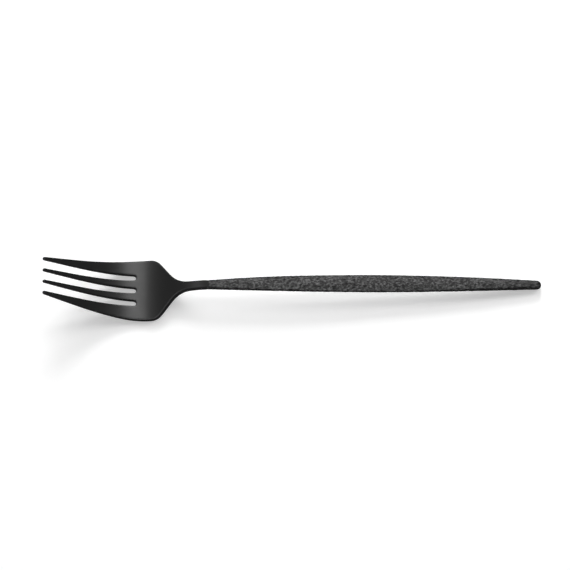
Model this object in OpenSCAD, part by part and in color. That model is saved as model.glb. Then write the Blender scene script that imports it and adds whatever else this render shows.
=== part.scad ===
// Dinner fork in two finishes: a smooth stamped head, whose flat notched tang is bonded into
// the socket of a slim, rough-textured handle.
// X runs along the fork from the tine tips to the handle's end, Y across it, and Z up.
// The fork lies on a table at Z = 0 with its tines up, and the origin is under its middle.
// A station is a distance along X from the tine tips.

/* [Side profile] */
// Length from the tine tips to the end of the handle
overall_length = 210; // [195:1:225]
// Height of the tine tips above the table, at mid thickness
tip_height = 18.6; // [15:0.2:21]
// Slope of the tines at their tips, in degrees
tine_angle = 30; // [26:0.5:33]
// Station of the lowest place of the palm
palm_station = 41.3; // [39:0.1:43]
// Height of the neck above the table at the joint, at mid thickness
neck_height = 6.6; // [5:0.1:9]
// Slope of the fork at the joint, in degrees
neck_angle = 2; // [0:0.5:4]
// Height of the handle above the table where it is widest, at mid thickness
crown_height = 5.5; // [4.8:0.1:6.5]
// Slope of the handle where it is widest, in degrees
crown_angle = 2.3; // [1.5:0.1:3]
// Slope of the handle at its end, in degrees
end_angle = 4.7; // [3.5:0.1:5.5]

/* [Head] */
// Width across the outer tines at their tips
tip_span = 16.8; // [15.6:0.1:18]
// Width across the shoulders, where the head is widest
head_width = 27.6; // [25:0.2:30]
// Station where the head is widest
shoulder_station = 45.3; // [43.5:0.1:47]
// Radius of the long curve from the straight sides to the widest place
hip_radius = 100; // [80:5:120]
// Radius of the shoulders' corners
shoulder_radius = 5.2; // [3:0.1:6]
// Angle between the shoulders' straight stretch and the fork's axis, in degrees
shoulder_angle = 53; // [50:1:56]
// Radius of the hollow curve from the shoulders into the neck
neck_fillet = 9.2; // [6:0.1:9.5]
// Thickness at the tine tips
tip_thickness = 1.3; // [1:0.1:1.6]
// Thickness of the palm
palm_thickness = 2.2; // [1.8:0.1:2.8]
// Reach of the rounded edges in from the outline
edge_round = 0.45; // [0.3:0.05:0.6]

/* [Tines] */
// Length of the slots between the tines
slot_length = 38.9; // [36:0.1:41]
// Width of a tine at its tip, before the tip is rounded off
tine_tip_width = 1.25; // [1:0.05:1.5]
// Width of an inner tine where the slots end
tine_root_width = 3.5; // [3:0.1:4]
// Width of a slot at its rounded root
slot_root_width = 2.4; // [2:0.1:3]
// Length over which a tine's tip is rounded off
tip_round = 0.9; // [0.6:0.1:1.2]

/* [Neck and joint] */
// Width of the neck where it is slimmest
neck_width = 3.8; // [3.4:0.1:4.2]
// Station of the joint between the head and the handle
joint_station = 68.3; // [66:0.1:72]
// Width of head and handle at the joint
joint_width = 3.8; // [3.6:0.1:4.4]
// Thickness of head and handle at the joint
joint_thickness = 3; // [2.8:0.1:3.4]
// Angle at which each side flares out at the joint, in degrees
flare_angle = 3.5; // [2.5:0.1:4]

/* [Tang and socket] */
// Length of the tang behind the joint
tang_length = 58; // [45:1:65]
// Width of the tang at the joint
tang_width = 2.4; // [2.2:0.1:2.6]
// Width of the tang at its end
tang_end_width = 2; // [1.6:0.1:2.2]
// Thickness of the tang
tang_thickness = 1.4; // [1.2:0.1:1.6]
// Radius of the notches that key the tang into the bond
notch_radius = 0.4; // [0.3:0.05:0.5]
// Thickness of the bond around the tang
bond_gap = 0.15; // [0.1:0.05:0.2]
// Depth of bond behind the tang's end
bond_end = 0.8; // [0.5:0.1:1.5]

/* [Handle] */
// Width of the handle where it is widest
handle_width = 7.9; // [6.5:0.1:9]
// Thickness of the handle where it is widest
handle_thickness = 3; // [2.8:0.1:3.6]
// Distance from the joint to the handle's widest place
handle_crown = 70; // [65:1:75]
// Width of the handle where its end begins to round off
end_width = 3.7; // [3.4:0.1:4.6]
// Thickness of the handle where its end begins to round off
end_thickness = 3.4; // [3:0.1:3.8]
// Length over which the handle's end is rounded off
end_round = 2; // [1.5:0.1:2.4]
// Angle at which each side closes towards the end, in degrees
end_taper_angle = 2.7; // [2:0.1:4]
// Reach of the rounded edges of the handle and of the neck in from the outline
handle_edge = 0.7; // [0.5:0.05:0.8]
// Radius of the slight curve across the handle's upper and lower faces
face_radius = 10; // [8:0.5:14]

/* [Hidden] */

head_colour = "#29292b";
handle_colour = "#474747";
bond_colour = "#b9a36a";

// Most of a tine's half width that each of its rounded edges may take up
tine_rim_share = 0.9;

// Steps of the skins: round an edge of the head and of the handle, across the handle's faces,
// round a slot's root, along a tine's tip and shaft, from the slot roots to the joint, along the
// handle, over its end and along the tang
edge_steps = 4;
handle_edge_steps = 8;
face_steps = 6;
root_steps = 6;
tip_steps = 3;
tine_steps = 12;
palm_steps = 22;
handle_steps = 26;
end_steps = 4;
tang_steps = 10;
notch_count = 5;

// Distance either side of a station over which the profile's slope is measured
slope_step = 0.01;
// Bond left out behind the joint face
bond_recess = 0.2;
// How far the tang's root is buried in the neck, and how far cuts overrun
overrun = 2;

middle = overall_length / 2;
crown_station = joint_station + handle_crown;
tail_length = overall_length - crown_station;
end_station = overall_length - end_round;
palm_height = palm_thickness / 2;
// The underside meets the table where the end begins to round off
end_height = end_thickness / 2 - end_round * tan(end_angle);

tine_count = 4;
slot_count = tine_count - 1;
root_line = slot_length - slot_root_width / 2;
// Spacing of the tines, and so of the slots, at the tips and where the slots end
tip_pitch = (tip_span - tine_tip_width) / slot_count;
root_pitch = tine_root_width + slot_root_width;
slot_tip_width = tip_pitch - tine_tip_width;

// The straight sides run at this angle from the tips and touch the hip curve
side_rise = (head_width - tip_span) / 2 - hip_radius;
side_angle = atan2(side_rise, shoulder_station)
    + asin(hip_radius / norm([shoulder_station, side_rise]));
hip_start = shoulder_station - hip_radius * sin(side_angle);
// The shoulders: corner curve, straight stretch, then hollow curve into the neck
corner_end = shoulder_station + shoulder_radius * sin(shoulder_angle);
shoulder_drop = (head_width - neck_width) / 2
    - (shoulder_radius + neck_fillet) * (1 - cos(shoulder_angle));
fillet_start = corner_end + shoulder_drop / tan(shoulder_angle);
neck_station = fillet_start + neck_fillet * sin(shoulder_angle);

// The first row of points behind the slot roots
palm_start = slot_length + 2 * edge_round;

// Share of the way from one station to another
function share(d, from, to) = max(0, min(1, (d - from) / (to - from)));

// Curve from a to b, level at both ends
function ease(a, b, u) = a + (b - a) * u * u * (3 - 2 * u);

// Curve from a to b over a span, with a slope given at each end
function sweep(a, b, slope_a, slope_b, span, u) =
    ease(a, b, u) + span * u * (1 - u) * (slope_a * (1 - u) - slope_b * u);

// Drop of a circle below its crown, at a distance from the crown
function sagitta(radius, distance) = radius - sqrt(radius * radius - distance * distance);

function reverse(list) = [for (i = [len(list) - 1:-1:0]) list[i]];

// Height of the fork's middle surface: tines, palm and neck, then the handle up to its widest
// place and on to its end
function profile_height(d) =
    d < palm_station ? sweep(tip_height, palm_height, -tan(tine_angle), 0,
        palm_station, d / palm_station)
    : d < joint_station ? sweep(palm_height, neck_height, 0, tan(neck_angle),
        joint_station - palm_station, share(d, palm_station, joint_station))
    : d < crown_station ? sweep(neck_height, crown_height, tan(neck_angle), -tan(crown_angle),
        handle_crown, share(d, joint_station, crown_station))
    : sweep(crown_height, end_height, -tan(crown_angle), -tan(end_angle),
        tail_length, (d - crown_station) / tail_length);

function profile_angle(d) =
    atan((profile_height(d + slope_step) - profile_height(d - slope_step)) / (2 * slope_step));

// A point at a station, at y across the fork and at a height off its middle surface
function place(d, y, off) =
    let (angle = profile_angle(d))
    [d - middle - off * sin(angle), y, profile_height(d) + off * cos(angle)];

// Half the outline's width in plan
function half_width(d) =
    d < hip_start ? tip_span / 2 + d * tan(side_angle)
    : d < shoulder_station ? head_width / 2 - sagitta(hip_radius, shoulder_station - d)
    : d < corner_end ? head_width / 2 - sagitta(shoulder_radius, d - shoulder_station)
    : d < fillet_start ? head_width / 2 - sagitta(shoulder_radius, corner_end - shoulder_station)
        - (d - corner_end) * tan(shoulder_angle)
    : d < neck_station ? neck_width / 2 + sagitta(neck_fillet, neck_station - d)
    : d < joint_station ? sweep(neck_width / 2, joint_width / 2, 0, tan(flare_angle),
        joint_station - neck_station, share(d, neck_station, joint_station))
    : d < crown_station ? sweep(joint_width / 2, handle_width / 2, tan(flare_angle), 0,
        handle_crown, share(d, joint_station, crown_station))
    : sweep(handle_width / 2, end_width / 2, 0, -tan(end_taper_angle),
        end_station - crown_station, share(d, crown_station, end_station));

function half_thickness(d) =
    d < palm_station ? (tip_thickness + (palm_thickness - tip_thickness) * d / palm_station) / 2
    : d < joint_station ? ease(palm_thickness, joint_thickness, share(d, palm_station, neck_station)) / 2
    : d < crown_station ? ease(joint_thickness, handle_thickness,
        share(d, joint_station, crown_station)) / 2
    : ease(handle_thickness, end_thickness, share(d, crown_station, end_station)) / 2;

// Reach of the outline's rounded edge: slight on the head, wider on the neck and the handle
function rim_reach(d) = ease(edge_round, handle_edge, share(d, corner_end, neck_station));

// Points round an edge from the top face to the underside; inward is 1 or -1 across the fork
function rim(d, edge, inward, reach, half_thick, steps) = [
    for (i = [0:steps])
        let (turn = 90 - 180 * i / steps)
        place(d, edge + inward * reach * (1 - cos(turn)), half_thick * sin(turn))
];

function slot_centre(k, d) =
    (k - (slot_count - 1) / 2) * (tip_pitch + (root_pitch - tip_pitch) * d / slot_length);
function slot_half(d) =
    (slot_tip_width + (slot_root_width - slot_tip_width) * d / slot_length) / 2;

// The two edges of a tine, and its size at a station inside the rounded tip
function tine_left(k, d) = k == 0 ? -half_width(d) : slot_centre(k - 1, d) + slot_half(d);
function tine_right(k, d) = k == slot_count ? half_width(d) : slot_centre(k, d) - slot_half(d);
function tip_scale(d) = d < tip_round ? sqrt(1 - pow(1 - d / tip_round, 2)) : 1;

// One rounded edge of a tine; side is -1 for its left edge and 1 for its right
function tine_rim(k, d, side) =
    let (half = (tine_right(k, d) - tine_left(k, d)) / 2 * tip_scale(d),
         centre = (tine_right(k, d) + tine_left(k, d)) / 2)
    rim(d, centre + side * half, -side, min(edge_round, tine_rim_share * half),
        half_thickness(d) * tip_scale(d), edge_steps);

function tine_section(k, d) = concat(tine_rim(k, d, 1), reverse(tine_rim(k, d, -1)));

tine_stations = concat(
    [for (i = [1:tip_steps]) tip_round * (1 - cos(90 * i / (tip_steps + 1)))],
    [for (i = [0:tine_steps]) tip_round + (root_line - tip_round) * i / tine_steps]);

// The wall of a slot's rounded root, as rows of edge points from tine k to tine k + 1
function root_rim(k, turn) = [
    for (i = [0:edge_steps])
        let (roll = 90 - 180 * i / edge_steps,
             radius = slot_half(root_line) + edge_round * (1 - cos(roll)),
             d = root_line + radius * sin(turn))
        place(d, slot_centre(k, root_line) - radius * cos(turn), half_thickness(d) * sin(roll))
];
function slot_root(k) = concat(
    [tine_rim(k, root_line, 1)],
    [for (i = [1:root_steps - 1]) root_rim(k, 180 * i / root_steps)],
    [tine_rim(k + 1, root_line, -1)]);

// The front of the palm: the upper or lower points of all slot roots, from -Y to +Y
function palm_front(i) = [for (k = [0:slot_count - 1]) for (row = slot_root(k)) row[i]];

// Places across the palm as shares of its flat width, lined up with the slot roots
column_shares = [for (p = palm_front(0)) p[1] / (half_width(root_line) - edge_round)];

function palm_columns(d, side) =
    let (flat = half_width(d) - rim_reach(d))
    [for (s = column_shares) place(d, s * flat, side * half_thickness(d))];

// One rounded edge of the head's outline
function edge_rim(d, side) =
    rim(d, side * half_width(d), -side, rim_reach(d), half_thickness(d), edge_steps);

// A closed section of the head behind the slots, and the matching front that joins the tines
function palm_section(d) = concat(
    edge_rim(d, 1),
    reverse(palm_columns(d, -1)),
    reverse(edge_rim(d, -1)),
    palm_columns(d, 1));
front_section = concat(
    tine_rim(slot_count, root_line, 1),
    reverse(palm_front(edge_steps)),
    reverse(tine_rim(0, root_line, -1)),
    palm_front(0));

palm_skin = concat(
    [front_section],
    [for (i = [0:palm_steps])
        palm_section(palm_start + (joint_station - palm_start) * i / palm_steps)]);

function tine_skin(k) = [for (d = tine_stations) tine_section(k, d)];

// The handle's faces curve slightly between its rounded edges, and its sections close on a
// rounded end, where scale shrinks them
function face_height(d, y) = half_thickness(d) - sagitta(face_radius, y);
function face_half(d) = half_width(d) - handle_edge;
face_shares = [for (i = [1:face_steps - 1]) 2 * i / face_steps - 1];

function handle_face(d, side, scale) = [
    for (s = face_shares)
        let (y = s * face_half(d))
        place(d, y * scale, side * face_height(d, y) * scale)
];
function handle_rim(d, side, scale) =
    rim(d, side * half_width(d) * scale, -side, handle_edge * scale,
        face_height(d, face_half(d)) * scale, handle_edge_steps);
function handle_section(d, scale) = concat(
    handle_rim(d, 1, scale),
    reverse(handle_face(d, -1, scale)),
    reverse(handle_rim(d, -1, scale)),
    handle_face(d, 1, scale));

handle_skin = concat(
    [for (i = [0:handle_steps])
        handle_section(joint_station + (end_station - joint_station) * i / handle_steps, 1)],
    [for (i = [1:end_steps])
        let (turn = 90 * i / (end_steps + 1))
        handle_section(end_station + end_round * sin(turn), cos(turn))]);

// Triangles over a grid of points that starts at index first; closed rows meet end to end
function grid_faces(grid, first, closed) =
    let (columns = len(grid[0]))
    [for (i = [0:len(grid) - 2], j = [0:columns - (closed ? 1 : 2)])
        let (a = first + i * columns + j,
             b = first + i * columns + (j + 1) % columns)
        each [[a, b, a + columns], [b, b + columns, a + columns]]];

// Flat face over one row of a grid
function row_face(grid, first, row) =
    let (columns = len(grid[0]))
    [for (j = [0:columns - 1]) first + row * columns + j];

function grid_points(grid) = [for (row = grid) each row];

// Index of each grid's first point when the grids' points are listed one after another
function first_points(grids) = [
    for (i = 0, first = 0;
        i < len(grids);
        first = first + len(grids[i]) * len(grids[i][0]), i = i + 1) first];

// A closed tube of sections with flat ends
module tube_skin(grid) {
    polyhedron(
        points = grid_points(grid),
        faces = concat(
            grid_faces(grid, 0, true),
            [reverse(row_face(grid, 0, 0)), row_face(grid, 0, len(grid) - 1)]));
}

// Tines, slot roots and palm as one skin, with flat tips and a flat end at the joint
module head_skin() {
    tines = [for (k = [0:slot_count]) tine_skin(k)];
    roots = [for (k = [0:slot_count - 1]) slot_root(k)];
    grids = concat(tines, roots, [palm_skin]);
    first = first_points(grids);
    points = [for (grid = grids) each grid_points(grid)];
    end_row = row_face(palm_skin, first[len(grids) - 1], len(palm_skin) - 1);
    polyhedron(
        points = concat(points, [place(joint_station, 0, 0)]),
        faces = concat(
            [for (k = [0:slot_count]) each grid_faces(tines[k], first[k], true)],
            [for (k = [0:slot_count]) reverse(row_face(tines[k], first[k], 0))],
            [for (k = [0:slot_count - 1])
                each grid_faces(roots[k], first[tine_count + k], false)],
            grid_faces(palm_skin, first[len(grids) - 1], true),
            [for (j = [0:len(end_row) - 1])
                [end_row[j], end_row[(j + 1) % len(end_row)], len(points)]]));
}

// Half the width of the tang, and a section of a flat bar that follows the handle's curve and
// narrows as the tang does, at a distance behind the joint and grown by a margin on every side
function tang_half(along) = (tang_width - (tang_width - tang_end_width) * along / tang_length) / 2;
function bar_section(along, margin) =
    let (d = joint_station + along,
         half = tang_half(along) + margin,
         high = tang_thickness / 2 + margin)
    [place(d, half, high), place(d, half, -high), place(d, -half, -high), place(d, -half, high)];

module tang_bar(to, margin) {
    tube_skin([
        for (i = [0:tang_steps]) bar_section(-overrun + (to + overrun) * i / tang_steps, margin)]);
}

module socket_bar() {
    tang_bar(tang_length + bond_end, bond_gap);
}

module tang() {
    difference() {
        tang_bar(tang_length, 0);
        for (i = [1:notch_count], side = [-1, 1])
            let (along = tang_length * i / (notch_count + 1))
            translate(place(joint_station + along, side * (tang_half(along) + notch_radius / 2), 0))
                cylinder(r = notch_radius, h = 2 * tang_thickness, center = true, $fn = 32);
    }
}

module fork_head() {
    color(head_colour)
        union() {
            head_skin();
            tang();
        }
}

module handle() {
    color(handle_colour)
        difference() {
            tube_skin(handle_skin);
            socket_bar();
        }
}

module tang_bond() {
    color(bond_colour)
        difference() {
            socket_bar();
            tang();
            translate([joint_station - middle + bond_recess - 2 * overrun, -handle_width / 2, 0])
                cube([2 * overrun, handle_width, 2 * neck_height]);
        }
}

fork_head();
handle();
tang_bond();
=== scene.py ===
"""A black dinner fork on a pale table: a satin head with four tines and a rough cast handle."""

import math

import bmesh
import bpy
from bpy.props import FloatProperty, FloatVectorProperty, PointerProperty
from mathutils import Euler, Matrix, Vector


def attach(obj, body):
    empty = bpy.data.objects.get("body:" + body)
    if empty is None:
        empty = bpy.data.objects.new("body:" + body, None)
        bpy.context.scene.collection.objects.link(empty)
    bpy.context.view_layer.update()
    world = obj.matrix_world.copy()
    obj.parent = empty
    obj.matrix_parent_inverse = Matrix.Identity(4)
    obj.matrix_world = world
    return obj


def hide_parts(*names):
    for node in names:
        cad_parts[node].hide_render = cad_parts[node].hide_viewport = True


bl_info = {
    "name": "Dinner fork",
    "version": (1, 0, 0),
    "blender": (4, 5, 0),
    "location": "View3D > Sidebar > Fork",
    "description": "Models a black dinner fork and the table that it lies on",
    "category": "Add Mesh",
}

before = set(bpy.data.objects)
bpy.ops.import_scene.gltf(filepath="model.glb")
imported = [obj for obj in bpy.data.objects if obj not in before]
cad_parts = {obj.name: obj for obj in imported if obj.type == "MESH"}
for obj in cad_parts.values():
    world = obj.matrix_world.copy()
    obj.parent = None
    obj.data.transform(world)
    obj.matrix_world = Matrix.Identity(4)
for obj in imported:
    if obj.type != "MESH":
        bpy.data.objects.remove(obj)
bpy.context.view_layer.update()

MM = 0.001
TINES = 4
# Half of the step over which the slope of the fork's curve is taken.
SLOPE_STEP = 0.01 * MM
# Points this near to a row of the sheet belong to it.
ROW_REACH = 0.1 * MM
SUBDIVISIONS = 3
# Where the blasting of the neck grows coarser along X, and the roughness that this adds.
COARSE_FROM = -43 * MM
COARSE_TO = -37 * MM
COARSE_ROUGHNESS = 0.42
# What the table adds to the light that it returns to the eye, and how slight its flecks are.
TABLE_GLOW = 0.45
FLECK_TONE = 0.99


def linear(text):
    """The linear colour of an sRGB hex value."""
    channels = [int(text[i : i + 2], 16) / 255 for i in (1, 3, 5)]
    return [c / 12.92 if c <= 0.04045 else ((c + 0.055) / 1.055) ** 2.4 for c in channels]


def length(name, description, millimetres):
    """A size that a user would change."""
    return FloatProperty(
        name=name,
        description=description,
        default=millimetres * MM,
        min=0.0,
        unit="LENGTH",
        precision=5,
    )


def angle(name, description, degrees):
    """An angle that a user would change."""
    return FloatProperty(
        name=name, description=description, default=math.radians(degrees), subtype="ANGLE"
    )


def colour(name, description, text):
    """A colour that a user would change."""
    return FloatVectorProperty(
        name=name,
        description=description,
        default=linear(text),
        min=0.0,
        max=1.0,
        size=3,
        subtype="COLOR",
    )


class ForkSizes(bpy.types.PropertyGroup):
    """Sizes of the fork: those of its solids, but for tighter edges of the head and the rough skin.

    Stations are measured from the tine tips.
    """

    overall_length: length("Overall length", "From the tine tips to the end of the handle", 210)
    tip_height: length("Tip height", "Middle of the tine tips above the table", 18.6)
    tine_angle: angle("Tine angle", "Rise of the tines at their tips", 30)
    palm_station: length("Palm station", "Where the palm is lowest", 41.3)
    neck_height: length("Neck height", "Middle of the neck above the table, at the joint", 6.6)
    neck_angle: angle("Neck angle", "Rise of the neck at the joint", 2)
    crown_height: length("Crown height", "Middle of the handle above the table, where it is widest", 5.5)
    crown_angle: angle("Crown angle", "Fall of the handle where it is widest", 2.3)
    end_angle: angle("End angle", "Fall of the handle at its end", 4.7)
    tip_span: length("Tip span", "Width over the tine tips", 16.8)
    head_width: length("Head width", "Width of the head at its shoulders", 27.6)
    shoulder_station: length("Shoulder station", "Where the head is widest", 45.3)
    hip_radius: length("Hip radius", "Curve of the head's sides", 100)
    shoulder_radius: length("Shoulder radius", "Round of the shoulders", 5.2)
    shoulder_angle: angle("Shoulder angle", "Slant of the shoulders", 53)
    neck_fillet: length("Neck fillet", "Curve from the shoulders into the neck", 9.2)
    tip_thickness: length("Tip thickness", "Thickness of the tine tips", 1.3)
    palm_thickness: length("Palm thickness", "Thickness of the palm", 2.2)
    edge_round: length("Edge round", "Round of the head's edges", 0.3)
    slot_length: length("Slot length", "Depth of the slots between the tines", 38.9)
    tine_tip_width: length("Tine tip width", "Width of a tine near its tip", 1.25)
    tine_root_width: length("Tine root width", "Width of a tine at its root", 3.5)
    tip_round: length("Tip round", "Length over which the tine tips are rounded", 0.9)
    slot_root_width: length("Slot root width", "Width of a slot at its root", 2.4)
    neck_width: length("Neck width", "Width of the neck", 3.8)
    joint_station: length("Joint station", "Where the handle begins", 68.3)
    joint_width: length("Joint width", "Width at the joint", 3.8)
    joint_thickness: length("Joint thickness", "Thickness at the joint", 3)
    flare_angle: angle("Flare angle", "Widening of the handle at the joint", 3.5)
    handle_width: length("Handle width", "Width of the handle in its middle", 7.9)
    handle_thickness: length("Handle thickness", "Thickness of the handle in its middle", 3)
    handle_crown: length("Handle crown", "From the joint to the widest place of the handle", 70)
    end_width: length("End width", "Width of the handle where its end begins to round", 3.7)
    end_thickness: length("End thickness", "Thickness of the handle where its end begins to round", 3.4)
    end_round: length("End round", "Length of the rounded end", 2)
    end_taper_angle: angle("End taper angle", "Narrowing of the handle at its end", 2.7)
    handle_edge: length("Handle edge", "Reach of the rounded edges of the handle and the neck", 0.7)
    face_radius: length("Face radius", "Slight curve across the handle's faces", 10)
    lump_height: length("Lump height", "How far the rough surface of the handle rises and falls", 0.16)
    grit_height: length("Grit height", "Depth of the fine pits in the rough surface", 0.1)


class ForkFinishes(bpy.types.PropertyGroup):
    """Colours of the fork and of the table."""

    coat: colour("Coat", "Black coat of the head", "#1c1c1c")
    coat_worn: colour("Worn coat", "Coat of the head where it is rubbed", "#272727")
    cast: colour("Cast coat", "Black coat of the rough handle", "#1b1b1b")
    # Painted shade: the coat in the pits is no darker; the shade that falls there is painted into it.
    cast_pit_shade: colour("Cast pits", "Coat in the pits of the handle", "#0a0a0a")
    # The heights are lighter for wear, and partly as a painted highlight for the glints of their facets.
    cast_wear_and_glint: colour("Cast heights", "Coat rubbed on the heights of the handle", "#363636")
    resin: colour("Resin", "Hardened adhesive", "#b89f69")
    resin_deep: colour("Deep resin", "Darker swirls in the adhesive", "#9a8048")
    table: colour("Table", "Pale table top", "#dedede")


def ease(a, b, share):
    """From a to b, level at both ends."""
    return a + (b - a) * share * share * (3 - 2 * share)


def sweep(a, b, slope_a, slope_b, span, share):
    """From a to b with the slopes that are given for both ends."""
    return ease(a, b, share) + span * share * (1 - share) * (slope_a * (1 - share) - slope_b * share)


def sagitta(radius, reach):
    """How far an arc falls back at a distance from its top."""
    return radius - math.sqrt(max(radius * radius - reach * reach, 0.0))


def height(s, d):
    """Height of the fork's middle line at a station."""
    low = s.palm_thickness / 2
    if d < s.palm_station:
        return sweep(s.tip_height, low, -math.tan(s.tine_angle), 0, s.palm_station, d / s.palm_station)
    if d < s.joint_station:
        span = s.joint_station - s.palm_station
        return sweep(low, s.neck_height, 0, math.tan(s.neck_angle), span, (d - s.palm_station) / span)
    crown = s.joint_station + s.handle_crown
    fall = -math.tan(s.crown_angle)
    if d < crown:
        share = (d - s.joint_station) / s.handle_crown
        return sweep(s.neck_height, s.crown_height, math.tan(s.neck_angle), fall, s.handle_crown, share)
    end = s.end_thickness / 2 - s.end_round * math.tan(s.end_angle)
    span = s.overall_length - crown
    return sweep(s.crown_height, end, fall, -math.tan(s.end_angle), span, (d - crown) / span)


def place(s, d, across, off):
    """The point at a station, across from the middle line and off from it.

    Off is measured at right angles to the fork's curve.
    """
    rise = height(s, d + SLOPE_STEP) - height(s, d - SLOPE_STEP)
    tilt = math.atan2(rise, 2 * SLOPE_STEP)
    x = d - s.overall_length / 2
    return Vector((x - off * math.sin(tilt), across, height(s, d) + off * math.cos(tilt)))


def half_width(s, d):
    """Half the width of the fork at a station."""
    wide = s.head_width / 2
    rise = wide - s.tip_span / 2 - s.hip_radius
    side = math.atan2(rise, s.shoulder_station)
    side += math.asin(s.hip_radius / math.hypot(s.shoulder_station, rise))
    if d < s.shoulder_station - s.hip_radius * math.sin(side):
        return s.tip_span / 2 + d * math.tan(side)
    if d < s.shoulder_station:
        return wide - sagitta(s.hip_radius, s.shoulder_station - d)
    slant = s.shoulder_angle
    corner_end = s.shoulder_station + s.shoulder_radius * math.sin(slant)
    narrow = s.neck_width / 2
    drop = wide - narrow - (s.shoulder_radius + s.neck_fillet) * (1 - math.cos(slant))
    fillet_start = corner_end + drop / math.tan(slant)
    neck = neck_station(s)
    if d < corner_end:
        return wide - sagitta(s.shoulder_radius, d - s.shoulder_station)
    if d < fillet_start:
        return wide - s.shoulder_radius * (1 - math.cos(slant)) - (d - corner_end) * math.tan(slant)
    if d < neck:
        return narrow + sagitta(s.neck_fillet, neck - d)
    flare = math.tan(s.flare_angle)
    if d < s.joint_station:
        span = s.joint_station - neck
        return sweep(narrow, s.joint_width / 2, 0, flare, span, (d - neck) / span)
    crown = s.joint_station + s.handle_crown
    if d < crown:
        share = (d - s.joint_station) / s.handle_crown
        return sweep(s.joint_width / 2, s.handle_width / 2, flare, 0, s.handle_crown, share)
    span = s.overall_length - s.end_round - crown
    share = min((d - crown) / span, 1.0)
    return sweep(s.handle_width / 2, s.end_width / 2, 0, -math.tan(s.end_taper_angle), span, share)


def neck_station(s):
    """Where the shoulders have run out into the neck."""
    slant = s.shoulder_angle
    rounds = s.shoulder_radius + s.neck_fillet
    drop = (s.head_width - s.neck_width) / 2 - rounds * (1 - math.cos(slant))
    reach = rounds * math.sin(slant)
    return s.shoulder_station + reach + drop / math.tan(slant)


def half_thickness(s, d):
    """Half the thickness of the fork at a station."""
    if d < s.palm_station:
        return (s.tip_thickness + (s.palm_thickness - s.tip_thickness) * d / s.palm_station) / 2
    neck = neck_station(s)
    if d < neck:
        share = (d - s.palm_station) / (neck - s.palm_station)
        return ease(s.palm_thickness, s.joint_thickness, share) / 2
    if d < s.joint_station:
        return s.joint_thickness / 2
    crown = s.joint_station + s.handle_crown
    if d < crown:
        share = (d - s.joint_station) / s.handle_crown
        return ease(s.joint_thickness, s.handle_thickness, share) / 2
    span = s.overall_length - s.end_round - crown
    return ease(s.handle_thickness, s.end_thickness, min((d - crown) / span, 1.0)) / 2


def tine_edges(s, d):
    """The eight edges of the tines across the head at a station, from the right to the left."""
    share = min(d / s.slot_length, 1.0)
    tip_pitch = (s.tip_span - s.tine_tip_width) / (TINES - 1)
    root_pitch = s.tine_root_width + s.slot_root_width
    pitch = tip_pitch + (root_pitch - tip_pitch) * share
    tip_slot = tip_pitch - s.tine_tip_width
    slot = tip_slot + (s.slot_root_width - tip_slot) * share
    inner = []
    for k in range(TINES - 1):
        middle = (k - (TINES - 2) / 2) * pitch
        inner += [middle - slot / 2, middle + slot / 2]
    side = half_width(s, d)
    return [-side] + inner + [side]


def start_editing():
    """Opens the active object in edit mode by its edges, with nothing selected."""
    bpy.ops.object.mode_set(mode="EDIT")
    bpy.ops.mesh.select_mode(type="EDGE")
    bpy.ops.mesh.select_all(action="DESELECT")


def pick_edges(obj, wanted):
    """Selects the edges whose two ends both pass the test."""
    bpy.ops.mesh.select_all(action="DESELECT")
    mesh = bmesh.from_edit_mesh(obj.data)
    for edge in mesh.edges:
        edge.select_set(all(wanted(v.co) for v in edge.verts))
    bmesh.update_edit_mesh(obj.data)


def picked(obj):
    """The selected points of the mesh in edit mode."""
    return [v for v in bmesh.from_edit_mesh(obj.data).verts if v.select]


def lay_row(obj, points):
    """Lays the selected row of points on the given places, from the right to the left."""
    for v, point in zip(sorted(picked(obj), key=lambda v: v.co.y), points, strict=True):
        v.co = point
    bmesh.update_edit_mesh(obj.data)


def draw_row(obj, step, points):
    """Extrudes the selected edges by a step along X and lays the new row on the given places."""
    bpy.ops.mesh.extrude_edges_move(TRANSFORM_OT_translate={"value": (step, 0, 0)})
    lay_row(obj, points)


def apply_modifier(obj, kind, **settings):
    """Adds a modifier with its settings and applies it."""
    modifier = obj.modifiers.new(kind.lower(), kind)
    for name, value in settings.items():
        setattr(modifier, name, value)
    bpy.ops.object.modifier_apply(modifier=modifier.name)


def weigh(obj, group_name, weight):
    """A vertex group whose weight is worked out from each point's place."""
    group = obj.vertex_groups.new(name=group_name)
    for v in obj.data.vertices:
        group.add([v.index], min(max(weight(v.co), 0.0), 1.0), "REPLACE")
    return group.name


def start_piece(name):
    """Names the new primitive and puts its place into its mesh."""
    obj = bpy.context.object
    obj.name = name
    obj.data.name = name
    bpy.ops.object.transform_apply(location=True, rotation=True, scale=True)
    return obj


def finish_piece(obj, material, node):
    """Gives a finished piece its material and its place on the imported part."""
    bpy.ops.object.select_all(action="DESELECT")
    obj.select_set(True)
    bpy.context.view_layer.objects.active = obj
    bpy.ops.object.shade_smooth()
    obj.data.materials.clear()
    obj.data.materials.append(material)
    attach(obj, "root")
    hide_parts(node)


def add_node(tree, kind, settings, inputs):
    """Adds a node with its settings. An input is a value, or the output of another node to link."""
    node = tree.nodes.new(kind)
    for name, value in settings.items():
        setattr(node, name, value)
    for name, value in inputs.items():
        if isinstance(value, bpy.types.NodeSocket):
            tree.links.new(value, node.inputs[name])
        else:
            node.inputs[name].default_value = value
    return node


def new_material(name):
    """A named material with an empty node tree, and that tree."""
    material = bpy.data.materials.new(name)
    material.use_nodes = True
    material.node_tree.nodes.clear()
    return material, material.node_tree


def per_size(millimetres):
    """The scale of a pattern whose marks are this large."""
    return 1 / (millimetres * MM)


def rgba(value):
    """A colour with full cover."""
    return (*value, 1.0)


def object_place(tree):
    """Each point's place on its object."""
    return add_node(tree, "ShaderNodeTexCoord", {}, {}).outputs["Object"]


def stored(tree, name):
    """A value that the mesh keeps for each of its points."""
    return add_node(tree, "ShaderNodeAttribute", {"attribute_name": name}, {}).outputs["Fac"]


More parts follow.
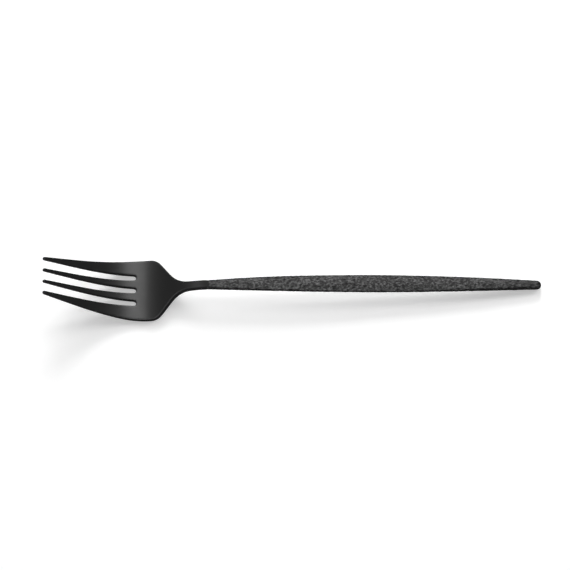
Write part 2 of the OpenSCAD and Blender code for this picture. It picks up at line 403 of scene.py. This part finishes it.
def noise(tree, spot, millimetres, **inputs):
    """A cloudy pattern whose marks are about this large."""
    inputs = {"Vector": spot, "Scale": per_size(millimetres), "Detail": 2.0, **inputs}
    return add_node(tree, "ShaderNodeTexNoise", {}, inputs).outputs["Fac"]


def calculate(tree, operation, *values):
    """The result of an operation on values and on the outputs of other nodes."""
    inputs = dict(enumerate(values))
    return add_node(tree, "ShaderNodeMath", {"operation": operation}, inputs).outputs[0]


def map_range(tree, value, low, high, to_low=0.0, to_high=1.0):
    """A value taken from one range to another, and held at both ends."""
    inputs = {"Value": value, 1: low, 2: high, 3: to_low, 4: to_high}
    return add_node(tree, "ShaderNodeMapRange", {}, inputs).outputs[0]


def mix_colours(tree, share, first, second):
    """From the first colour to the second as the share grows."""
    inputs = {0: share, 6: first, 7: second}
    return add_node(tree, "ShaderNodeMix", {"data_type": "RGBA"}, inputs).outputs[2]


def bump(tree, pattern, strength, millimetres):
    """Normals bent by a pattern, as if it were this high."""
    inputs = {"Height": pattern, "Strength": strength, "Distance": millimetres * MM}
    return add_node(tree, "ShaderNodeBump", {}, inputs).outputs[0]


def show(tree, shader):
    """Makes a shader the surface of its material."""
    add_node(tree, "ShaderNodeOutputMaterial", {}, {"Surface": shader.outputs[0]})


def coated_metal(tree, tone, roughness, normal):
    """The surface of a black metal film, whose shine is held back at flat angles."""
    shader = add_node(
        tree,
        "ShaderNodeBsdfPrincipled",
        {},
        {
            "Base Color": tone,
            "Metallic": 1.0,
            "Roughness": roughness,
            "Specular Tint": rgba([0.5] * 3),
            "Normal": normal,
        },
    )
    show(tree, shader)


def seen_rays(tree):
    """One for the rays that reach the eye straight, by a reflection or through glass.

    It is zero for the others.
    """
    path = add_node(tree, "ShaderNodeLightPath", {}, {}).outputs
    seen = path["Is Camera Ray"]
    for kind in ("Is Glossy Ray", "Is Transmission Ray"):
        seen = calculate(tree, "MAXIMUM", seen, path[kind])
    return seen


def satin_black_coated_steel(f):
    """Stainless steel, fine blasted and coated black in a vacuum.

    A thin dark film that still reflects as metal: near black, with a soft wide shine.
    """
    material, tree = new_material("satin_black_coated_steel")
    spot = object_place(tree)
    # The film's tone drifts over about a centimetre.
    cloud = noise(tree, spot, 9, Detail=3.0)
    # The blasted grain is about 0.05 mm and is drawn at 0.25 mm, so that it shows.
    grain = noise(tree, spot, 0.25)
    rubbed = calculate(tree, "MULTIPLY", stored(tree, "rim"), cloud)
    tone = mix_colours(tree, rubbed, rgba(f.coat), rgba(f.coat_worn))
    film = map_range(tree, calculate(tree, "ADD", cloud, grain), 0.6, 1.4, 0.28, 0.38)
    # Along the neck the blasting is coarser, towards the rough handle.
    along = add_node(tree, "ShaderNodeSeparateXYZ", {}, {"Vector": spot}).outputs["X"]
    coarser = map_range(tree, along, COARSE_FROM, COARSE_TO, 0.0, COARSE_ROUGHNESS)
    roughness = calculate(tree, "ADD", film, coarser)
    coated_metal(tree, tone, roughness, bump(tree, grain, 0.12, 0.02))
    return material


def rough_black_cast_steel(f):
    """Steel cast in a coarse mould and coated black.

    A stone-like skin: painted shade in its pits, and heights that handling has rubbed a little lighter,
    lightened further as a painted highlight of their glints.
    """
    material, tree = new_material("rough_black_cast_steel")
    # The marks lie along the handle.
    drawn_out = {"Vector": object_place(tree), "Scale": (0.7, 1.0, 1.0)}
    spot = add_node(tree, "ShaderNodeMapping", {}, drawn_out).outputs[0]
    # Grains of the mould's sand are about 0.4 mm.
    grain = noise(tree, spot, 0.38, Roughness=0.6)
    # Patches of a few millimetres took the coat differently.
    patch = noise(tree, spot, 3)
    grain_share, patch_share = 1.2, 0.4
    mark = calculate(tree, "MULTIPLY_ADD", grain, grain_share, stored(tree, "relief"))
    mark = calculate(tree, "MULTIPLY_ADD", patch, patch_share, mark)
    # The low marks take painted shade, and the high marks are lightened for wear and as a painted
    # highlight.
    pit, level, top = 0.9, 1.3, 1.7
    body = mix_colours(tree, map_range(tree, mark, pit, level), rgba(f.cast_pit_shade), rgba(f.cast))
    tone = mix_colours(tree, map_range(tree, mark, level, top), body, rgba(f.cast_wear_and_glint))
    roughness = map_range(tree, grain, 0.3, 0.7, 0.42, 0.6)
    coated_metal(tree, tone, roughness, bump(tree, grain, 0.5, 0.08))
    return material


def hardened_epoxy(f):
    """Two-part epoxy, pressed into the socket and left to harden.

    Honey-coloured resin with small bubbles and darker swirls.
    """
    material, tree = new_material("hardened_epoxy")
    spot = object_place(tree)
    swirl = noise(tree, spot, 2.5, Distortion=0.8)
    cells = {"Vector": spot, "Scale": per_size(0.8)}
    bubbles = add_node(tree, "ShaderNodeTexVoronoi", {}, cells).outputs["Distance"]
    tone = mix_colours(tree, swirl, rgba(f.resin), rgba(f.resin_deep))
    normal = bump(tree, bubbles, 0.2, 0.05)
    shader = add_node(
        tree,
        "ShaderNodeBsdfPrincipled",
        {},
        {"Base Color": tone, "Roughness": 0.25, "IOR": 1.55, "Normal": normal},
    )
    show(tree, shader)
    return material


def pale_table(f):
    """Matt white laminate that glows a little to the eye: it is white but for the fork's shadow."""
    material, tree = new_material("pale_table")
    fleck = noise(tree, object_place(tree), 40)
    tone = mix_colours(tree, fleck, rgba(f.table), rgba([c * FLECK_TONE for c in f.table]))
    paint = add_node(tree, "ShaderNodeBsdfDiffuse", {}, {"Color": tone})
    lift = calculate(tree, "MULTIPLY", seen_rays(tree), TABLE_GLOW)
    glow = add_node(tree, "ShaderNodeEmission", {}, {"Strength": lift})
    show(tree, add_node(tree, "ShaderNodeAddShader", {}, {0: paint.outputs[0], 1: glow.outputs[0]}))
    return material


class FORK_OT_head(bpy.types.Operator):
    """Models the head: a sheet laid along the fork's curve, drawn out into four tines and a neck"""

    bl_idname = "fork.head"
    bl_label = "Fork head"

    # Rows behind the slot roots, behind the palm's lowest place and in front of the shoulders.
    root_row = 1.7 * MM
    palm_row = 1.2 * MM
    shoulder_row = 1.3 * MM
    shoulder_steps = 12
    neck_steps = 3
    # Rows along the tines as shares of the slots' depth, and at their tips as shares of the round.
    tine_shares = (0.95, 0.87, 0.77, 0.65, 0.52, 0.39, 0.27, 0.16, 0.08, 0.045)
    tip_shares = (1.15, 0.33)
    # Lines this far out are the outline. The others are drawn together at the neck.
    outline_share = 0.999
    neck_pull = 0.45
    # How far the neck runs on inside the handle, and the share of its width that is left there.
    hidden_rows = ((0.7 * MM, 0.9), (1.6 * MM, 0.8))
    # The round of the edges widens late, near the neck.
    rim_power = 3

    def execute(self, context):
        s = context.scene.fork_sizes
        obj = self.lay_sheet(s)
        self.draw_tines(obj, s)
        self.draw_palm(obj, s)
        self.round_rim(obj, s)
        self.thicken(obj, s)
        steel = satin_black_coated_steel(context.scene.fork_finishes)
        finish_piece(obj, steel, "fork_head")
        return {"FINISHED"}

    def lay_sheet(self, s):
        """One row of seven faces across the roots of the tines."""
        bpy.ops.object.select_all(action="DESELECT")
        start = s.slot_length
        bpy.ops.mesh.primitive_grid_add(
            x_subdivisions=1,
            y_subdivisions=2 * TINES - 1,
            size=s.head_width,
            location=place(s, start, 0, 0),
        )
        obj = start_piece("fork_head_satin")
        middle = place(s, start, 0, 0).x
        start_editing()
        rows = ((lambda p: p.x < middle, start), (lambda p: p.x > middle, start + self.root_row))
        for row, d in rows:
            pick_edges(obj, row)
            lay_row(obj, [place(s, d, y, 0) for y in self.columns(s, d)])
        return obj

    def columns(self, s, d):
        """Where the sheet's lengthwise lines lie across the palm and the neck."""
        edges = tine_edges(s, s.slot_length)
        shares = [y / edges[-1] for y in edges]
        narrowing = (d - s.shoulder_station) / (neck_station(s) - s.shoulder_station)
        pull = ease(1.0, self.neck_pull, min(max(narrowing, 0.0), 1.0))
        side = half_width(s, d)
        return [side * (h if abs(h) > self.outline_share else h * pull) for h in shares]

    def draw_tines(self, obj, s):
        """Extrudes the front edges of the tines out to their tips."""
        front = place(s, s.slot_length, 0, 0).x
        edges = tine_edges(s, s.slot_length)
        spans = [(edges[2 * k], edges[2 * k + 1]) for k in range(TINES)]
        pick_edges(obj, lambda p: abs(p.x - front) < ROW_REACH)
        mesh = bmesh.from_edit_mesh(obj.data)
        for edge in mesh.edges:
            if edge.select:
                middle = (edge.verts[0].co.y + edge.verts[1].co.y) / 2
                edge.select_set(any(low < middle < high for low, high in spans))
        bmesh.update_edit_mesh(obj.data)
        rows = [s.slot_length * share for share in self.tine_shares]
        rows += [s.tip_round * share for share in self.tip_shares]
        for d in rows:
            draw_row(obj, -MM, [place(s, d, y, 0) for y in tine_edges(s, d)])

    def draw_palm(self, obj, s):
        """Extrudes the back edges of the sheet through the palm and the shoulders to the neck."""
        back = place(s, s.slot_length + self.root_row, 0, 0).x
        pick_edges(obj, lambda p: abs(p.x - back) < ROW_REACH)
        shoulder, steps = s.shoulder_station, self.shoulder_steps
        neck = neck_station(s)
        rows = [s.palm_station + self.palm_row, shoulder - self.shoulder_row]
        rows += [shoulder + (neck - shoulder) * k / steps for k in range(steps + 1)]
        steps = self.neck_steps
        rows += [neck + (s.joint_station - neck) * k / steps for k in range(1, steps + 1)]
        for d in rows:
            draw_row(obj, MM, [place(s, d, y, 0) for y in self.columns(s, d)])
        # The neck runs on a little inside the handle, so no gap shows at the joint.
        for reach, shrink in self.hidden_rows:
            d = s.joint_station + reach
            across = self.columns(s, s.joint_station)
            draw_row(obj, MM, [place(s, d, y * shrink, 0) for y in across])

    def round_rim(self, obj, s):
        """Insets the outline, so that the edges take a small round, and a wide one along the neck."""
        bpy.ops.mesh.select_mode(type="FACE")
        bpy.ops.mesh.select_all(action="SELECT")
        bpy.ops.mesh.inset(thickness=s.edge_round, use_boundary=True, use_even_offset=True)
        mesh = bmesh.from_edit_mesh(obj.data)
        outer = {v for e in mesh.edges if e.is_boundary for v in e.verts}
        shoulder = s.shoulder_station
        neck = neck_station(s)
        for v in mesh.verts:
            beside = [e.other_vert(v) for e in v.link_edges if e.other_vert(v) in outer]
            d = v.co.x + s.overall_length / 2
            if v in outer or not beside or d < shoulder:
                continue
            side = half_width(s, min(d, s.joint_station))
            along = min(max((d - shoulder) / (neck - shoulder), 0.0), 1.0)
            reach = ease(s.edge_round, s.handle_edge, along**self.rim_power)
            v.co.y = math.copysign(min(abs(v.co.y), side - reach), v.co.y)
        bmesh.update_edit_mesh(obj.data)
        bpy.ops.object.mode_set(mode="OBJECT")
        rim = obj.data.attributes.new("rim", "FLOAT", "POINT")
        bordered = {}
        for poly in obj.data.polygons:
            for key in poly.edge_keys:
                bordered[key] = bordered.get(key, 0) + 1
        for key, count in bordered.items():
            if count == 1:
                for index in key:
                    rim.data[index].value = 1.0

    def thicken(self, obj, s):
        """Gives the sheet its thickness, which grows from the tips to the neck, and smooths it."""
        most = s.joint_thickness / 2
        half = s.overall_length / 2

        def weight(point):
            d = point.x + half
            tip = min(max(d / s.tip_round, 0.0), 1.0)
            return half_thickness(s, d) / most * math.sqrt(tip * (2 - tip))

        group = weigh(obj, "thickness", weight)
        apply_modifier(
            obj,
            "SOLIDIFY",
            thickness=s.joint_thickness,
            offset=0.0,
            use_even_offset=True,
            use_quality_normals=True,
            vertex_group=group,
        )
        apply_modifier(obj, "SUBSURF", levels=SUBDIVISIONS, render_levels=SUBDIVISIONS)


class FORK_OT_handle(bpy.types.Operator):
    """Models the handle: a ring drawn along the fork's curve to a rounded end, with a rough skin"""

    bl_idname = "fork.handle"
    bl_label = "Fork handle"

    edge_steps = 4
    ring_points = 2 * edge_steps + 6
    # Rings just behind the joint, along the grip, and at the end as shares of its round.
    joint_rings = (0.15 * MM, 0.6 * MM)
    grip_steps = 90
    end_shares = (0.3, 0.55, 0.75, 0.9, 0.98)
    # Length behind the joint over which the skin grows rough.
    skin_start = 0.8 * MM
    # Size of the lumps and chips, and how far they are drawn out along the handle.
    mark_size = 0.65 * MM
    mark_stretch = 1.8
    lump_depth = 2
    chip_contrast = 1.2
    # Levels of the two patterns that leave the skin where it is.
    lump_middle = 0.6
    chip_middle = 0.4

    def execute(self, context):
        s = context.scene.fork_sizes
        obj = self.draw_bar(s)
        apply_modifier(obj, "SUBSURF", levels=SUBDIVISIONS, render_levels=SUBDIVISIONS)
        self.roughen(obj, s)
        steel = rough_black_cast_steel(context.scene.fork_finishes)
        finish_piece(obj, steel, "handle")
        return {"FINISHED"}

    def ring(self, s, d, share):
        """The points round the handle at a station, from below to the left.

        The faces are slightly round, and so are the edges between them.
        """
        reach = s.handle_edge
        flat = half_width(s, d) - reach
        thick = half_thickness(s, d)
        crown, shoulder = [thick - sagitta(s.face_radius, y) for y in (flat / 3, flat)]
        step = math.pi / self.edge_steps
        # The subdivision pulls a curve in, so the points of the edges stand a little outside it.
        grow = 6 / (4 + 2 * math.cos(step))
        edge = [(flat, -shoulder)]
        for k in range(1, self.edge_steps):
            turn = k * step - math.pi / 2
            edge.append((flat + reach * grow * math.cos(turn), shoulder * math.sin(turn)))
        half = [(flat / 3, -crown)] + edge + [(flat, shoulder), (flat / 3, crown)]
        points = half + [(-y, -z) for y, z in half]
        return [place(s, d, y * share, z * share) for y, z in points]

    def lay_ring(self, obj, s, d, share):
        """Lays the selected ring of points round the handle at a station."""
        points = picked(obj)
        middle = sum((v.co for v in points), Vector()) / len(points)
        points.sort(key=lambda v: math.atan2(v.co.y - middle.y, middle.z - v.co.z) % (2 * math.pi))
        for v, point in zip(points, self.ring(s, d, share), strict=True):
            v.co = point
        bmesh.update_edit_mesh(obj.data)

    def draw_bar(self, s):
        """Extrudes the end face of the joint through the grip to the rounded end."""
        bpy.ops.object.select_all(action="DESELECT")
        start = s.joint_station
        bpy.ops.mesh.primitive_circle_add(
            vertices=self.ring_points,
            radius=s.joint_width / 2,
            fill_type="NGON",
            location=place(s, start, 0, 0),
            rotation=(0, math.pi / 2, 0),
        )
        obj = start_piece("handle_rough")
        bpy.ops.object.mode_set(mode="EDIT")
        bpy.ops.mesh.select_mode(type="FACE")
        bpy.ops.mesh.select_all(action="SELECT")
        self.lay_ring(obj, s, start, 1.0)
        for d, share in self.stations(s):
            bpy.ops.mesh.extrude_region_move(TRANSFORM_OT_translate={"value": (MM, 0, 0)})
            self.lay_ring(obj, s, d, share)
        bpy.ops.mesh.select_all(action="SELECT")
        bpy.ops.mesh.normals_make_consistent(inside=False)
        bpy.ops.object.mode_set(mode="OBJECT")
        return obj

    def stations(self, s):
        """The stations of the rings behind the joint, and the share of the full size of each."""
        round_start = s.overall_length - s.end_round
        steps = self.grip_steps
        rings = [(s.joint_station + reach, 1.0) for reach in self.joint_rings]
        first = rings[-1][0]
        rings += [(first + (round_start - first) * k / steps, 1.0) for k in range(1, steps + 1)]
        # The skin stands out a little, so the end keeps back by as much.
        reach = s.end_round - s.lump_height / 2
        for share in self.end_shares:
            rings.append((round_start + share * reach, math.sqrt(1 - share * share)))
        return rings

    def roughen(self, obj, s):
        """Lifts and sinks the skin like that of cast stone, and keeps how high each point stands."""
        smooth = [v.co.copy() for v in obj.data.vertices]
        normals = [v.normal.copy() for v in obj.data.vertices]
        start = s.joint_station - s.overall_length / 2

        def roughness(point):
            return ease(0.0, 1.0, min(max((point.x - start) / self.skin_start, 0.0), 1.0))

        group = weigh(obj, "skin", roughness)
        # Lumps of about two thirds of a millimetre, drawn out along the handle, broken by chips.
        lumps = bpy.data.textures.new("cast_lumps", "CLOUDS")
        lumps.noise_scale = self.mark_size
        lumps.noise_depth = self.lump_depth
        chips = bpy.data.textures.new("cast_chips", "VORONOI")
        chips.noise_scale = self.mark_size
        chips.noise_intensity = self.chip_contrast
        bpy.ops.object.empty_add(location=(0, 0, 0))
        stretch = bpy.context.object
        stretch.scale = (self.mark_stretch, 1.0, 1.0)
        bpy.context.view_layer.update()
        bpy.context.view_layer.objects.active = obj
        layers = (
            (lumps, s.lump_height, self.lump_middle),
            (chips, -s.grit_height, self.chip_middle),
        )
        for texture, strength, middle in layers:
            apply_modifier(
                obj,
                "DISPLACE",
                texture=texture,
                texture_coords="OBJECT",
                texture_coords_object=stretch,
                strength=strength,
                mid_level=middle,
                vertex_group=group,
            )
        bpy.data.objects.remove(stretch)
        lifts = [(v.co - p).dot(n) for v, p, n in zip(obj.data.vertices, smooth, normals)]
        low, high = min(lifts), max(lifts)
        relief = obj.data.attributes.new("relief", "FLOAT", "POINT")
        for index, lift in enumerate(lifts):
            relief.data[index].value = (lift - low) / (high - low) * roughness(smooth[index])


class FORK_OT_bond(bpy.types.Operator):
    """Gives the hardened adhesive round the tang its resin"""

    bl_idname = "fork.bond"
    bl_label = "Tang bond"

    def execute(self, context):
        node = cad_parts["tang_bond"]
        resin = hardened_epoxy(context.scene.fork_finishes)
        for slot in node.material_slots:
            slot.material = resin
        return {"FINISHED"}


class FORK_OT_stage(bpy.types.Operator):
    """Sets the pale table, the soft light from behind and the camera of the photograph"""

    bl_idname = "fork.stage"
    bl_label = "Table, light and camera"

    # The photograph's frame in pixels, and the pixel on which the fork's origin falls.
    photo_width = 570
    origin_column = 292.8
    origin_row = 290.3
    frame_width = 240.8 * MM
    camera_distance = 2050 * MM
    camera_elevation = 65
    camera_roll = -0.8
    farthest_view = 20.0
    table_size = 4.0
    # Each lamp's name, elevation and turn aside in degrees, width and height in metres, and watts.
    table_lamps = (
        ("softbox", 25, 0, (0.6, 0.38), 15.5),
        ("left_fill", 27, -60, (0.5, 0.5), 2.8),
        ("right_fill", 27, 60, (0.5, 0.5), 6.4),
        ("upper_fill", 54, 0, (0.6, 0.6), 3.0),
    )
    table_lamp_distance = 1.2
    cards = (
        ("back_card", 50, 6.5, (0.65, 0.95), 29.8),
        ("overhead_card", 114, 6.5, (0.65, 0.9), 26.5),
        ("left_card", 60, -32, (0.45, 0.8), 2.2),
    )
    card_distance = 1.3
    # Strength of the room as a fill light, and to the eye and in reflections.
    room_fill = 0.1
    room_white = 1.0

    def execute(self, context):
        scene = context.scene
        scene.view_settings.view_transform = "Standard"
        self.table(context)
        self.lamps(context)
        self.surroundings(scene)
        self.camera(scene)
        return {"FINISHED"}

    def table(self, context):
        """A wide table top under the fork."""
        bpy.ops.object.select_all(action="DESELECT")
        bpy.ops.mesh.primitive_plane_add(size=self.table_size, location=(0, 0, 0))
        top = start_piece("table_top")
        top.data.materials.append(pale_table(context.scene.fork_finishes))

    def lamps(self, context):
        """A low softbox behind the fork and fills light the table; cards shine on the fork."""
        for settings in self.table_lamps:
            lamp = self.area_lamp(context, self.table_lamp_distance, *settings)
            lamp.visible_glossy = False
        for settings in self.cards:
            lamp = self.area_lamp(context, self.card_distance, *settings)
            lamp.visible_diffuse = False

    def area_lamp(self, context, distance, name, elevation, aside, size, watts):
        """A soft rectangular lamp turned towards the fork.

        Its elevation is counted from the table behind the fork, and its turn towards the handle.
        """
        up, aside = math.radians(elevation), math.radians(aside)
        flat = math.cos(up)
        back = Vector((math.sin(aside) * flat, math.cos(aside) * flat, math.sin(up)))
        bpy.ops.object.light_add(type="AREA", location=back * distance)
        lamp = context.object
        lamp.name = name
        lamp.rotation_euler = back.to_track_quat("Z", "Y").to_euler()
        lamp.data.shape = "RECTANGLE"
        lamp.data.size, lamp.data.size_y = size
        lamp.data.energy = watts
        lamp.visible_camera = False
        return lamp

    def surroundings(self, scene):
        """An even pale room: white to the eye and in reflections, and dim as a fill light."""
        world = bpy.data.worlds.new("pale_room")
        scene.world = world
        world.use_nodes = True
        tree = world.node_tree
        tree.nodes.clear()
        strength = map_range(tree, seen_rays(tree), 0.0, 1.0, self.room_fill, self.room_white)
        white = rgba([1.0] * 3)
        room = add_node(tree, "ShaderNodeBackground", {}, {"Color": white, "Strength": strength})
        add_node(tree, "ShaderNodeOutputWorld", {}, {"Surface": room.outputs[0]})

    def camera(self, scene):
        """A long lens in front of the fork and above it, turned a little as the photograph is."""
        elevation = math.radians(self.camera_elevation)
        data = bpy.data.cameras.new("photo_camera")
        data.lens = data.sensor_width * self.camera_distance / self.frame_width
        data.clip_end = self.farthest_view
        data.shift_x = (self.photo_width / 2 - self.origin_column) / self.photo_width
        data.shift_y = (self.origin_row - self.photo_width / 2) / self.photo_width
        obj = bpy.data.objects.new("photo_camera", data)
        scene.collection.objects.link(obj)
        obj.location = (
            0,
            -self.camera_distance * math.cos(elevation),
            self.camera_distance * math.sin(elevation),
        )
        tilt = Euler((math.pi / 2 - elevation, 0, 0)).to_matrix()
        roll = Euler((0, 0, math.radians(self.camera_roll))).to_matrix()
        obj.rotation_euler = (tilt @ roll).to_euler()
        scene.camera = obj


class FORK_PT_panel(bpy.types.Panel):
    """Lists the fork's pieces, sizes and finishes"""

    bl_idname = "FORK_PT_panel"
    bl_label = "Dinner fork"
    bl_space_type = "VIEW_3D"
    bl_region_type = "UI"
    bl_category = "Fork"

    def draw(self, context):
        column = self.layout.column()
        for operator in (FORK_OT_head, FORK_OT_handle, FORK_OT_bond, FORK_OT_stage):
            column.operator(operator.bl_idname)
        for group in (context.scene.fork_sizes, context.scene.fork_finishes):
            for name in group.__annotations__:
                column.prop(group, name)


CLASSES = (
    ForkSizes,
    ForkFinishes,
    FORK_OT_head,
    FORK_OT_handle,
    FORK_OT_bond,
    FORK_OT_stage,
    FORK_PT_panel,
)


def register():
    """Adds the fork's classes and settings."""
    for cls in CLASSES:
        bpy.utils.register_class(cls)
    bpy.types.Scene.fork_sizes = PointerProperty(type=ForkSizes)
    bpy.types.Scene.fork_finishes = PointerProperty(type=ForkFinishes)


def unregister():
    """Takes the fork's classes and settings away."""
    del bpy.types.Scene.fork_finishes
    del bpy.types.Scene.fork_sizes
    for cls in reversed(CLASSES):
        bpy.utils.unregister_class(cls)


def main():
    """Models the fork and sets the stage."""
    register()
    bpy.ops.fork.head()
    bpy.ops.fork.handle()
    bpy.ops.fork.bond()
    bpy.ops.fork.stage()


if __name__ == "__main__":
    main()
